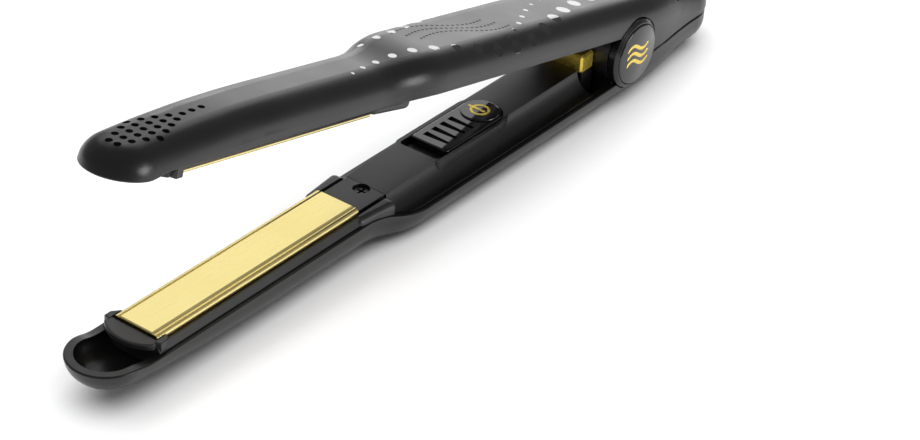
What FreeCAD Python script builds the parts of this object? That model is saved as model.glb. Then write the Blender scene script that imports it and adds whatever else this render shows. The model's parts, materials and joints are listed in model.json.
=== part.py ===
import FreeCAD, Part
import Sketcher
import math
import os

# A slim hair straightener: two long arms hinged near their tail, each with a floating heated plate.
#
# Every piece is drawn in its own arm's frame: the hinge axis is the Y axis, the nose points to -X, the
# plates meet on the plane z = 0 and the arm's body hangs below it. The lower arm stands upright in the
# row's frame. The upper arm is the same arm turned over and opened about the hinge axis.
# The row's origin is the point on the resting face right under the hinge axis.

SIZES = [
    ("opening", 12.5, "angle between the arms when they are fully open, degrees"),
    ("nose_reach", 230.0, "hinge axis to the nose of an arm"),
    ("tail_reach", 53.0, "hinge axis to the end of the tail"),
    ("barrel_half", 11.0, "half width of the barrel that carries the plate"),
    ("handle_half", 14.6, "half width of the handle"),
    ("tail_half", 12.6, "half width at the round tail end"),
    ("barrel_depth", 14.0, "closing plane to the underside of the barrel"),
    ("handle_depth", 16.0, "closing plane to the underside of the handle"),
    ("tail_depth", 14.6, "closing plane to the underside of the tail end"),
    ("rim_drop", 4.3, "closing plane down to the shell's rim beside the plate and behind the hinge"),
    ("lower_rim", 7.9, "closing plane down to the lower shell's rim along the handle"),
    ("upper_rim", 5.9, "closing plane down to the upper shell's rim along the handle"),
    ("nose_rim", 3.1, "closing plane down to the shell's rim around the nose"),
    ("nose_rim_start", 212.0, "hinge axis to where the rim starts to rise at the nose"),
    ("nose_rim_long", 9.0, "length over which the rim rises at the nose"),
    ("rim_soften", 0.45, "rounding of the rim's outer edge"),
    ("nose_depth", 8.6, "closing plane to the underside just beyond the nose"),
    ("nose_rise_start", 168.0, "hinge axis to where the underside starts to rise towards the nose"),
    ("edge_round", 7.6, "rounding of the shell's lower edge"),
    ("wall", 2.6, "shell wall"),
    ("fit", 0.15, "clearance between pieces that are fixed together"),
    ("run", 0.4, "clearance between pieces that move past each other"),
    ("waist_start", 126.0, "hinge axis to the front of the waist"),
    ("waist_long", 24.0, "length over which barrel turns into handle"),
    ("taper_start", 7.0, "hinge axis to the start of the tail's taper"),
    ("plate_back", 126.0, "hinge axis to the rear edge of the plate"),
    ("plate_long", 82.0, "plate length"),
    ("plate_flat_half", 5.4, "half width of the plate's flat face"),
    ("bead_round", 1.1, "radius of the rolled bead along each side of the plate"),
    ("bead_dip", 1.4, "closing plane down to the middle of the bead"),
    ("bead_groove", 0.5, "width and depth of the groove between the flat face and a bead"),
    ("plate_chamfer", 0.3, "chamfer at the plate's ends"),
    ("plate_thick", 2.4, "plate thickness at its flanges"),
    ("plate_rib_half", 4.6, "half width of the rib under the plate"),
    ("plate_rib_thick", 1.1, "height of the rib under the plate"),
    ("plate_gap", 0.05, "half of the gap between the closed plates"),
    ("float_travel", 0.8, "how far a plate can be pushed into its arm"),
    ("heater_thick", 1.6, "ceramic heater thickness"),
    ("sensor_long", 9.0, "temperature sensor length"),
    ("sensor_tall", 1.1, "temperature sensor height"),
    ("nose_gap", 0.5, "gap between the plate's end and the carrier"),
    ("crescent_long", 5.6, "length of the carrier's nose piece on the centre line"),
    ("crescent_sag", 3.4, "how far the middle of the nose piece bulges forward"),
    ("crescent_dip", 1.1, "closing plane down to the top of the nose piece"),
    ("crescent_thick", 1.7, "thickness of the nose piece"),
    ("crescent_sweep", 12.0, "radius of the nose piece's front"),
    ("crescent_edge", 0.5, "rounding of the nose piece's upper edge"),
    ("end_wall", 1.2, "thickness of the carrier's wall in front of the plate"),
    ("guard_long", 3.6, "how far the carrier's front guards reach along the plate"),
    ("guard_taper", 2.4, "how much shorter a front guard is along its outer side"),
    ("guard_dip", 0.9, "closing plane down to the top of a front guard"),
    ("flank_dip", 2.2, "closing plane down to the top of the carrier's flanks"),
    ("flank_top", 0.7, "width of the flat top of a flank"),
    ("flank_over", 1.5, "how far a flank reaches out over the rim"),
    ("carrier_deep", 8.9, "closing plane down to the carrier's underside"),
    ("carrier_bevel", 3.2, "bevel along the carrier's lower edges"),
    ("channel_floor", 1.6, "thickness of the carrier's floor"),
    ("pad_thick", 0.8, "silicone cushion thickness"),
    ("pad_long", 12.0, "silicone cushion length"),
    ("carrier_rear", 5.0, "how far the carrier reaches behind the plate"),
    ("ear_lap", 2.5, "how far an ear starts before the plate's rear edge"),
    ("ear_dip", 2.0, "closing plane down to the top of an ear"),
    ("ear_flare", 1.6, "how much further out an ear reaches at its rear end"),
    ("ear_round", 1.9, "rounding of an ear's outer edges"),
    ("cover_start", 113.0, "hinge axis to the front of the inner cover's hump"),
    ("cover_end", 19.4, "hinge axis to the rear end of the inner cover"),
    ("cover_thick", 1.8, "inner cover thickness"),
    ("hump_half", 7.0, "half width of the flat top of the cover's hump"),
    ("hump_dip", 1.25, "closing plane down to the hump's top"),
    ("hump_ramp", 18.0, "length over which the hump rises behind its front"),
    ("seam_lap", 1.3, "width of the shell's rim that the inner cover leaves bare"),
    ("lip_rise", 0.7, "how far the cover's lip stands above the shell's rim"),
    ("tab_half", 6.7, "half width of the flat tab behind the plate"),
    ("tab_dip", 1.9, "closing plane down to the tab's top"),
    ("tab_thick", 1.6, "thickness of the tab"),
    ("bulkhead_thick", 1.8, "thickness of the cover's wall in front of the hinge"),
    ("recess_wall", 1.4, "thickness of the walls around the switch recess"),
    ("screw_back", 115.2, "hinge axis to the cover screw"),
    ("screw_head", 2.4, "screw head radius"),
    ("screw_shank", 1.3, "screw shank radius"),
    ("screw_tall", 1.2, "height of the screw's head"),
    ("screw_long", 6.0, "length of the screw's shank"),
    ("screw_slot", 0.35, "half width of the screw's cross recess"),
    ("screw_dip", 2.7, "closing plane down to the top of the screw's head"),
    ("recess_front", 89.4, "hinge axis to the front of the switch recess"),
    ("disc_back", 59.6, "hinge axis to the middle of the switch's disc"),
    ("slider_front", 84.2, "hinge axis to the front of the switch when it is off"),
    ("slider_half", 6.6, "half width of the switch"),
    ("slider_gap", 0.4, "gap between the switch and the sides of its recess"),
    ("slider_dip", 0.9, "closing plane down to the switch's top"),
    ("slider_thick", 1.9, "switch thickness"),
    ("slider_travel", 4.0, "how far the switch slides towards the nose"),
    ("disc_radius", 5.9, "radius of the glossy disc on the switch"),
    ("disc_rise", 0.5, "how far the disc stands above the switch"),
    ("recess_corner", 1.5, "radius of the recess's front corners"),
    ("slider_corner", 0.9, "radius of the switch's front corners"),
    ("slider_edge", 0.45, "rounding of the switch's upper edge"),
    ("recess_dip", 3.2, "closing plane down to the floor of the switch recess"),
    ("groove_step", 3.9, "spacing of the finger grooves"),
    ("groove_wide", 1.7, "width of a finger groove"),
    ("groove_deep", 0.9, "depth of a finger groove"),
    ("board_long", 62.0, "circuit board length"),
    ("board_half", 9.0, "half width of the circuit board"),
    ("board_dip", 9.6, "closing plane down to the board's top"),
    ("board_thick", 1.6, "circuit board thickness"),
    ("drum_radius", 10.9, "radius of the hinge drum"),
    ("drum_run", 0.5, "clearance between the drum and what stands around it"),
    ("middle_half", 5.3, "half width of the drum's middle section"),
    ("drum_half", 12.5, "hinge centre to the outer end of the drum"),
    ("pin_radius", 2.5, "hinge pin radius"),
    ("pin_run", 0.05, "radial clearance of the hinge pin"),
    ("ring_radius", 11.1, "radius of the ring around the hinge cap"),
    ("ring_face", 15.5, "hinge centre to the outer face of the ring"),
    ("ring_bevel", 0.9, "bevel of the ring's outer edge"),
    ("cap_radius", 9.7, "radius of the glossy hinge cap"),
    ("cap_face", 15.9, "hinge centre to the outer face of the cap"),
    ("cap_edge", 0.5, "rounding of the cap's edge"),
    ("spring_radius", 4.6, "mean radius of the opening spring"),
    ("spring_wire", 1.1, "wire diameter of the opening spring"),
    ("spring_turns", 4, "turns of the opening spring"),
    ("block_front", 17.2, "hinge axis to the front of the gold accent block"),
    ("block_half", 7.0, "half width of the accent block"),
    ("block_rise", 2.6, "closing plane up to the top of the accent block"),
    ("block_chamfer", 0.6, "chamfer of the accent block's edges"),
    ("block_drop", 2.9, "closing plane down to the underside of the accent block"),
    ("deck_thick", 1.2, "thickness of the tail covers"),
    ("gland_dip", 8.0, "closing plane down to the cord gland's axis"),
    ("gland_neck", 3.2, "radius of the gland where it turns in the tail wall"),
    ("gland_head", 3.7, "radius of the gland's outer head"),
    ("gland_tail", 3.6, "radius of the gland inside the tail"),
    ("gland_bore", 2.6, "radius of the cord's hole"),
    ("gland_out", 1.6, "length of the gland's outer head"),
    ("gland_in", 4.0, "length of the gland inside the tail"),
    ("vent_start", 6.5, "nose to the first vent holes"),
    ("vent_radius", 1.0, "radius of a vent hole in the upper shell"),
    ("vent_pitch", 3.6, "spacing of the vent holes along the arm"),
    ("vent_spread", 2.8, "spacing of the vent holes across the arm"),
    ("lead_radius", 0.9, "radius of a wire"),
]


class Size:
    """A number together with the sheet expression that gives it."""

    def __init__(self, value, text):
        self.value = value
        self.text = text

    def __add__(self, other):
        other = as_size(other)
        return Size(self.value + other.value, f"({self.text} + {other.text})")

    def __sub__(self, other):
        other = as_size(other)
        return Size(self.value - other.value, f"({self.text} - {other.text})")

    def __mul__(self, other):
        other = as_size(other)
        return Size(self.value * other.value, f"({self.text} * {other.text})")

    def __truediv__(self, other):
        other = as_size(other)
        return Size(self.value / other.value, f"({self.text} / {other.text})")

    def __neg__(self):
        return Size(-self.value, f"(0 - {self.text})")

    __radd__ = __add__
    __rmul__ = __mul__

    def __rsub__(self, other):
        return as_size(other) - self


def as_size(number):
    """A plain number as a Size."""
    if isinstance(number, Size):
        return number
    return Size(float(number), f"({float(number):.6f})")


def sine(angle):
    return Size(math.sin(math.radians(angle.value)), f"sin({angle.text})")


def cosine(angle):
    return Size(math.cos(math.radians(angle.value)), f"cos({angle.text})")


doc = FreeCAD.newDocument("hair_straightener")
sheet = doc.addObject("Spreadsheet::Sheet", "sizes")
for row, (alias, number, meaning) in enumerate(SIZES, start=1):
    sheet.set(f"A{row}", meaning)
    sheet.set(f"B{row}", str(number))
    sheet.setAlias(f"B{row}", alias)
doc.recompute()


class Named:
    """Every size on the sheet by its own name."""


s = Named()
for alias, number, meaning in SIZES:
    setattr(s, alias, Size(float(sheet.get(alias)), f"sizes.{alias}"))

# Worked-out places, all from the sheet.
beyond_nose = -s.nose_reach - 5
beyond_tail = s.tail_reach + 5
nose_centre = s.barrel_half - s.nose_reach
tail_centre = s.tail_reach - s.tail_half
waist_front = -s.waist_start
waist_middle = waist_front + s.waist_long / 2
waist_rear = waist_front + s.waist_long
plate_rear = -s.plate_back
plate_front = plate_rear - s.plate_long
bead_centre = s.plate_flat_half + s.bead_round
plate_half = bead_centre + s.bead_round
plate_under = s.plate_gap + s.plate_thick
rib_under = plate_under + s.plate_rib_thick
heater_under = rib_under + s.heater_thick
inner_half = s.barrel_half - s.wall
channel_half = plate_half + s.run
floor_top = s.carrier_deep - s.channel_floor
pad_top = plate_under + s.float_travel + s.plate_gap
ledge = pad_top + s.pad_thick
notch_radius = s.ring_radius + s.run
bore_back = s.drum_radius + s.drum_run

made_nodes = []


# --- drawing helpers -------------------------------------------------------------------------------

def bind(thing, prop, size):
    thing.setExpression(prop, as_size(size).text)


def arc(u, v, turn, u0=None, v0=None):
    """A corner reached by an arc: turn 1 is anticlockwise, and u0 or v0 places the arc's centre."""
    return (u, v, turn, u0, v0)


def arc_centre(a, b, u0, v0):
    """The centre that is as far from a as from b, with one of its coordinates given."""
    square = (a[0] ** 2 + a[1] ** 2 - b[0] ** 2 - b[1] ** 2) / 2
    if u0 is not None:
        return (u0.value, (square - u0.value * (a[0] - b[0])) / (a[1] - b[1]))
    return ((square - v0.value * (a[1] - b[1])) / (a[0] - b[0]), v0.value)


def draw(sketch, corners):
    """A closed outline of straight runs and arcs whose corners are bound to the sheet."""
    points = [(as_size(c[0]), as_size(c[1])) for c in corners]
    values = [(u.value, v.value) for u, v in points]
    ends = []
    for index, corner in enumerate(corners):
        a = values[index - 1]
        b = values[index]
        start = FreeCAD.Vector(a[0], a[1], 0)
        stop = FreeCAD.Vector(b[0], b[1], 0)
        if len(corner) == 2:
            edge = sketch.addGeometry(Part.LineSegment(start, stop))
            ends.append((edge, 1, 2))
            continue
        turn, u0, v0 = corner[2:]
        u0 = None if u0 is None else as_size(u0)
        v0 = None if v0 is None else as_size(v0)
        middle = arc_centre(a, b, u0, v0)
        first, last = (a, b) if turn > 0 else (b, a)
        radius = math.dist(a, middle)
        angles = [math.atan2(p[1] - middle[1], p[0] - middle[0]) for p in (first, last)]
        circle = Part.Circle(FreeCAD.Vector(middle[0], middle[1], 0), FreeCAD.Vector(0, 0, 1), radius)
        edge = sketch.addGeometry(Part.ArcOfCircle(circle, angles[0], angles[1]))
        ends.append((edge, 1, 2) if turn > 0 else (edge, 2, 1))
        if u0 is not None:
            rule = sketch.addConstraint(Sketcher.Constraint("DistanceX", edge, 3, u0.value))
            bind(sketch, f"Constraints[{rule}]", u0)
        else:
            rule = sketch.addConstraint(Sketcher.Constraint("DistanceY", edge, 3, v0.value))
            bind(sketch, f"Constraints[{rule}]", v0)
    for index, (edge, begin, finish) in enumerate(ends):
        following = ends[(index + 1) % len(ends)]
        sketch.addConstraint(Sketcher.Constraint("Coincident", edge, finish, following[0], following[1]))
        for kind, size in (("DistanceX", points[index][0]), ("DistanceY", points[index][1])):
            rule = sketch.addConstraint(Sketcher.Constraint(kind, edge, finish, size.value))
            bind(sketch, f"Constraints[{rule}]", size)


def circle(sketch, u, v, radius):
    """A circle whose centre and radius are bound to the sheet."""
    u, v, radius = as_size(u), as_size(v), as_size(radius)
    centre = FreeCAD.Vector(u.value, v.value, 0)
    edge = sketch.addGeometry(Part.Circle(centre, FreeCAD.Vector(0, 0, 1), radius.value))
    for kind, size in (("DistanceX", u), ("DistanceY", v)):
        rule = sketch.addConstraint(Sketcher.Constraint(kind, edge, 3, size.value))
        bind(sketch, f"Constraints[{rule}]", size)
    rule = sketch.addConstraint(Sketcher.Constraint("Radius", edge, radius.value))
    bind(sketch, f"Constraints[{rule}]", radius)


def new_body(label):
    body = doc.addObject("PartDesign::Body", label)
    body.Label = label
    return body


def new_sketch(body, role, offset=0):
    """A sketch on one of the body's own origin planes, moved along the plane's normal by offset."""
    sketch = body.newObject("Sketcher::SketchObject", f"{body.Name}_sketch")
    plane = next(f for f in body.Origin.OriginFeatures if f.Role == role)
    sketch.AttachmentSupport = [(plane, "")]
    sketch.MapMode = "FlatFace"
    bind(sketch, "AttachmentOffset.Base.z", offset)
    return sketch


def pad(body, sketch, length, down=False, both=False):
    feature = body.newObject("PartDesign::Pad", f"{body.Name}_pad")
    feature.Profile = sketch
    bind(feature, "Length", length)
    feature.Reversed = down
    if both:
        feature.SideType = "Symmetric"
    doc.recompute()
    return feature


def pocket(body, sketch, length, up=False, both=False):
    """Cuts along the sketch plane's negative normal, or up its normal, or both ways."""
    before = body.Shape.Volume
    feature = body.newObject("PartDesign::Pocket", f"{body.Name}_pocket")
    feature.Profile = sketch
    bind(feature, "Length", length)
    feature.Reversed = up
    if both:
        feature.SideType = "Symmetric"
    doc.recompute()
    if body.Shape.Volume > before - 1e-4:
        raise RuntimeError(f"the pocket in {body.Label} cuts nothing")
    return feature


def fillet(body, base, edges, radius):
    feature = body.newObject("PartDesign::Fillet", f"{body.Name}_fillet")
    feature.Base = (base, edges)
    bind(feature, "Radius", radius)
    doc.recompute()
    return feature


def edges_where(shape, chosen):
    """The names of the edges that chosen(edge) picks."""
    return [f"Edge{i}" for i, edge in enumerate(shape.Edges, start=1) if chosen(edge)]


def box(label, low, high):
    """A box between two corners."""
    made = doc.addObject("Part::Box", label)
    for name, axis, a, b in zip(("Length", "Width", "Height"), "xyz", low, high):
        a, b = as_size(a), as_size(b)
        bind(made, name, b - a)
        bind(made, f"Placement.Base.{axis}", a)
    return made


def cylinder(label, radius, start, length, direction):
    """A cylinder from start along direction, which is one of X, Y and Z."""
    made = doc.addObject("Part::Cylinder", label)
    bind(made, "Radius", radius)
    bind(made, "Height", length)
    turns = {"X": ((0, 1, 0), 90), "Y": ((1, 0, 0), -90), "Z": ((0, 0, 1), 0)}
    axis, angle = turns[direction]
    made.Placement.Rotation = FreeCAD.Rotation(FreeCAD.Vector(*axis), angle)
    for name, place in zip("xyz", start):
        bind(made, f"Placement.Base.{name}", place)
    return made


def cut(label, base, tool):
    made = doc.addObject("Part::Cut", label)
    made.Base = base
    made.Tool = tool
    return made


def common(label, base, tool):
    made = doc.addObject("Part::Common", label)
    made.Base = base
    made.Tool = tool
    return made


def fuse(label, shapes):
    made = doc.addObject("Part::MultiFuse", label)
    made.Shapes = shapes
    return made


def group(label, shapes):
    """Separate solids that share one node."""
    made = doc.addObject("Part::Compound", label)
    made.Links = shapes
    return made


UPRIGHT = f"placement(vector(0; 0; {s.handle_depth.text}); rotation(vector(0; 0; 1); 0))"
half_opening = s.opening / 2
TURNED = (
    f"placement(vector(0; 0; {s.handle_depth.text}); "
    f"rotation(vector({cosine(half_opening).text}; 0; {(-sine(half_opening)).text}); 180))"
)


def node(made, label, arm):
    """Sets a finished piece on its arm and lists it for export under its label."""
    made.Label = label
    made.setExpression("Placement", TURNED if arm == "upper" else UPRIGHT)
    made_nodes.append(made)


# --- the arm's outline -----------------------------------------------------------------------------

def draw_plan(sketch, inset):
    """Seen from above: round nose, straight barrel, waist, handle and tapered round tail."""
    barrel = s.barrel_half - inset
    handle = s.handle_half - inset
    tail = s.tail_half - inset
    waist = (barrel + handle) / 2
    taper = (handle + tail) / 2
    taper_middle = (s.taper_start + tail_centre) / 2
    draw(sketch, [
        (waist_front, -barrel),
        arc(waist_middle, -waist, -1, u0=waist_front),
        arc(waist_rear, -handle, 1, u0=waist_rear),
        (s.taper_start, -handle),
        arc(taper_middle, -taper, 1, u0=s.taper_start),
        arc(tail_centre, -tail, -1, u0=tail_centre),
        arc(tail_centre, tail, 1, u0=tail_centre),
        arc(taper_middle, taper, -1, u0=tail_centre),
        arc(s.taper_start, handle, 1, u0=s.taper_start),
        (waist_rear, handle),
        arc(waist_middle, waist, 1, u0=waist_rear),
        arc(waist_front, barrel, -1, u0=waist_front),
        (nose_centre, barrel),
        arc(nose_centre, -barrel, 1, u0=nose_centre),
    ])


def draw_side(sketch, inset):
    """Seen from the side: the underside with its rising nose, waist step and rising tail."""
    barrel = inset - s.barrel_depth
    handle = inset - s.handle_depth
    tail = inset - s.tail_depth
    taper_middle = (s.taper_start + tail_centre) / 2
    draw(sketch, [
        (waist_front, barrel),
        arc(waist_middle, (barrel + handle) / 2, -1, u0=waist_front),
        arc(waist_rear, handle, 1, u0=waist_rear),
        (s.taper_start, handle),
        arc(taper_middle, (handle + tail) / 2, 1, u0=s.taper_start),
        arc(tail_centre, tail, -1, u0=tail_centre),
        (beyond_tail, tail),
        (beyond_tail, s.handle_depth),
        (beyond_nose, s.handle_depth),
        (beyond_nose, inset - s.nose_depth),
        arc(-s.nose_rise_start, barrel, 1, u0=-s.nose_rise_start),
    ])


def flat_top(height):
    return [(beyond_tail, height), (beyond_nose, height)]


def wedge_height(x, gap):
    """Height, in the upper arm's frame, of the lower arm's rim when the arms are fully open."""
    return (s.rim_drop - gap - x * sine(s.opening)) / cosine(s.opening)


def rim_top(arm, gap):
    """The shell's rim from tail to nose, raised by gap: low along the handle, high around the nose.
    Behind the hinge the upper arm's tail lands on the lower arm's rim."""
    barrel = gap - s.rim_drop
    nose = gap - s.nose_rim
    rise_end = -s.nose_rim_start - s.nose_rim_long
    if arm == "lower":
        handle = gap - s.lower_rim
        tail = [(beyond_tail, barrel), (0, barrel), (0, handle)]
    else:
        handle = gap - s.upper_rim
        step = s.drum_radius - 3
        tail = [
            (beyond_tail, wedge_height(beyond_tail, s.run)),
            (step, wedge_height(step, s.run)),
            (step, handle),
        ]
    return tail + [
        (waist_rear, handle),
        arc(waist_middle, (handle + barrel) / 2, -1, u0=waist_rear),
        arc(waist_front, barrel, 1, u0=waist_front),
        (-s.nose_rim_start, barrel),
        arc(-s.nose_rim_start - s.nose_rim_long / 2, (barrel + nose) / 2, -1, u0=-s.nose_rim_start),
        arc(rise_end, nose, 1, u0=rise_end),
        (beyond_nose, nose),
    ]


def rim_loop(shape):
    """The edges between the arm's upright wall and its rim."""
    def chosen(edge):
        middle = edge.valueAt((edge.FirstParameter + edge.LastParameter) / 2)
        slopes = []
        for face in shape.ancestorsOfType(edge, Part.Face):
            u, v = face.Surface.parameter(middle)
            slopes.append(face.normalAt(u, v).z)
        return len(slopes) == 2 and max(slopes) > 0.8 and abs(min(slopes)) < 0.1
    return edges_where(shape, chosen)


def underside_loop(shape):
    """The edges between the arm's upright wall and its underside."""
    def chosen(edge):
        middle = edge.valueAt((edge.FirstParameter + edge.LastParameter) / 2)
        slopes = []
        for face in shape.ancestorsOfType(edge, Part.Face):
            u, v = face.Surface.parameter(middle)
            slopes.append(face.normalAt(u, v).z)
        return len(slopes) == 2 and min(slopes) < -0.8 and abs(max(slopes)) < 0.1
    return edges_where(shape, chosen)


def arm_solid(label, inset, top=None):
    """The arm's outer form, or the same form smaller by inset all round, cut off at a given top."""
    body = new_body(label)
    side = new_sketch(body, "XZ_Plane")
    draw_side(side, inset)
    pad(body, side, s.handle_half * 2 + 10, both=True)
    frame = new_sketch(body, "XY_Plane")
    draw_plan(frame, inset)
    far = s.handle_half + 8
    draw(frame, [
        (beyond_nose - 3, -far),
        (beyond_tail + 3, -far),
        (beyond_tail + 3, far),
        (beyond_nose - 3, far),
    ])
    trimmed = pocket(body, frame, s.handle_depth * 4, both=True)
    loop = underside_loop(trimmed.Shape)
    fillet(body, trimmed, loop, s.edge_round - inset)
    if top:
        above = new_sketch(body, "XZ_Plane")
        ceiling = s.handle_depth + 1
        draw(above, top + [(beyond_nose, ceiling), (beyond_tail, ceiling)])
        pocket(body, above, s.handle_half * 4, both=True)
    return body


def tube_between(label, low, high):
    """What lies inside the arm, clear of the shell's wall, between two lengths along the arm."""
    room = arm_solid(f"{label}_room", s.wall + s.fit, flat_top(s.run))
    far = s.handle_half + 8
    slab = box(f"{label}_slab", (low, -far, -s.handle_depth), (high, far, s.run + 1))
    return room, slab


def above_rim(label, arm, inset, low, high):
    """The space over the shell's rim, inset from the arm's outline, between two lengths."""
    room = arm_solid(f"{label}_over", inset, flat_top(s.run))
    body = new_body(f"{label}_over_rim")
    side = new_sketch(body, "XZ_Plane")
    draw(side, rim_top(arm, s.fit) + [(beyond_nose, s.run + 1), (beyond_tail, s.run + 1)])
    pad(body, side, s.handle_half * 3, both=True)
    far = s.handle_half + 8
    slab = box(f"{label}_over_slab", (low, -far, -s.handle_depth), (high, far, s.run + 1))
    return common(f"{label}_over_space", common(f"{label}_over_fit", room, body), slab)


# --- shells ----------------------------------------------------------------------------------------

def vent_places():
    """Columns of vent holes that swell behind the nose and run out to a point."""
    places = []
    for column, count in enumerate((2, 3, 4, 5, 4, 3, 2, 1, 1, 1)):
        along = s.vent_pitch * column + s.vent_start - s.nose_reach
        for number in range(count):
            places.append((along, s.vent_spread * (number - (count - 1) / 2)))
    return places


def shell(arm):
    outer = arm_solid(f"{arm}_outer", as_size(0), rim_top(arm, 0))
    fillet(outer, outer.Tip, rim_loop(outer.Shape), s.rim_soften)
    inner = arm_solid(f"{arm}_inner", s.wall)
    tub = cut(f"{arm}_tub", outer, inner)
    far = s.handle_half + 5
    tools = [cylinder(f"{arm}_notch", notch_radius, (0, -far, 0), far * 2, "Y")]
    if arm == "lower":
        tools.append(cylinder("gland_hole", s.gland_neck + s.pin_run,
                              (s.tail_reach - s.wall - 1, 0, -s.gland_dip), s.wall + 4, "X"))
        tools.append(cylinder("gland_seat", s.gland_tail + s.run,
                              (s.tail_reach - s.wall - s.gland_in - 2, 0, -s.gland_dip),
                              s.gland_in + 2, "X"))
    else:
        for number, (along, across) in enumerate(vent_places()):
            tools.append(cylinder(f"vent_{number}", s.vent_radius,
                                  (along, across, -s.handle_depth), s.handle_depth - 6, "Z"))
    made = cut(f"{arm}_shell", tub, fuse(f"{arm}_shell_holes", tools))
    node(made, f"{arm}_shell", arm)


# --- plate, heater, carrier ------------------------------------------------------------------------

def plate(arm):
    body = new_body(f"{arm}_plate")
    section = new_sketch(body, "YZ_Plane", plate_front)
    flat = -s.plate_gap
    under = -plate_under
    bead = -s.bead_dip
    groove = flat - s.bead_groove
    draw(section, [
        (s.plate_flat_half, flat),
        (-s.plate_flat_half, flat),
        (-s.plate_flat_half - s.bead_groove, groove),
        arc(-plate_half, bead, 1, v0=bead),
        (-plate_half, under),
        (-s.plate_rib_half, under),
        (-s.plate_rib_half, -rib_under),
        (s.plate_rib_half, -rib_under),
        (s.plate_rib_half, under),
        (plate_half, under),
        (plate_half, bead),
        arc(s.plate_flat_half + s.bead_groove, groove, 1, v0=bead),
    ])
    padded = pad(body, section, s.plate_long)
    ends = edges_where(padded.Shape, lambda edge: (
        abs(edge.CenterOfMass.z - flat.value) < 1e-3 and edge.BoundBox.XLength < 1e-3))
    chamfer = body.newObject("PartDesign::Chamfer", f"{arm}_plate_chamfer")
    chamfer.Base = (padded, ends)
    bind(chamfer, "Size", s.plate_chamfer)
    doc.recompute()
    node(body, f"{arm}_plate", arm)


def heater(arm):
    ceramic = box(f"{arm}_heater_ceramic", (plate_front + 4, 0.3 - s.plate_rib_half, -heater_under),
                  (plate_rear - 4, s.plate_rib_half - 0.3, -rib_under))
    tag = box(f"{arm}_heater_tag", (plate_rear - 4, -1.6, -heater_under),
              (plate_rear - 2, 1.6, -rib_under - 0.4))
    node(fuse(f"{arm}_heater_body", [ceramic, tag]), f"{arm}_heater", arm)


def sensor(arm):
    middle = plate_front + s.plate_long / 2
    made = box(f"{arm}_sensor_case", (middle - s.sensor_long / 2, -1.4, -heater_under - s.sensor_tall),
               (middle + s.sensor_long / 2, 1.4, -heater_under))
    bead = cylinder(f"{arm}_sensor_bead", s.sensor_tall / 2,
                    (middle + s.sensor_long / 2, 0, -heater_under - s.sensor_tall / 2), 2, "X")
    node(fuse(f"{arm}_sensor", [made, bead]), f"{arm}_sensor", arm)


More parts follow.
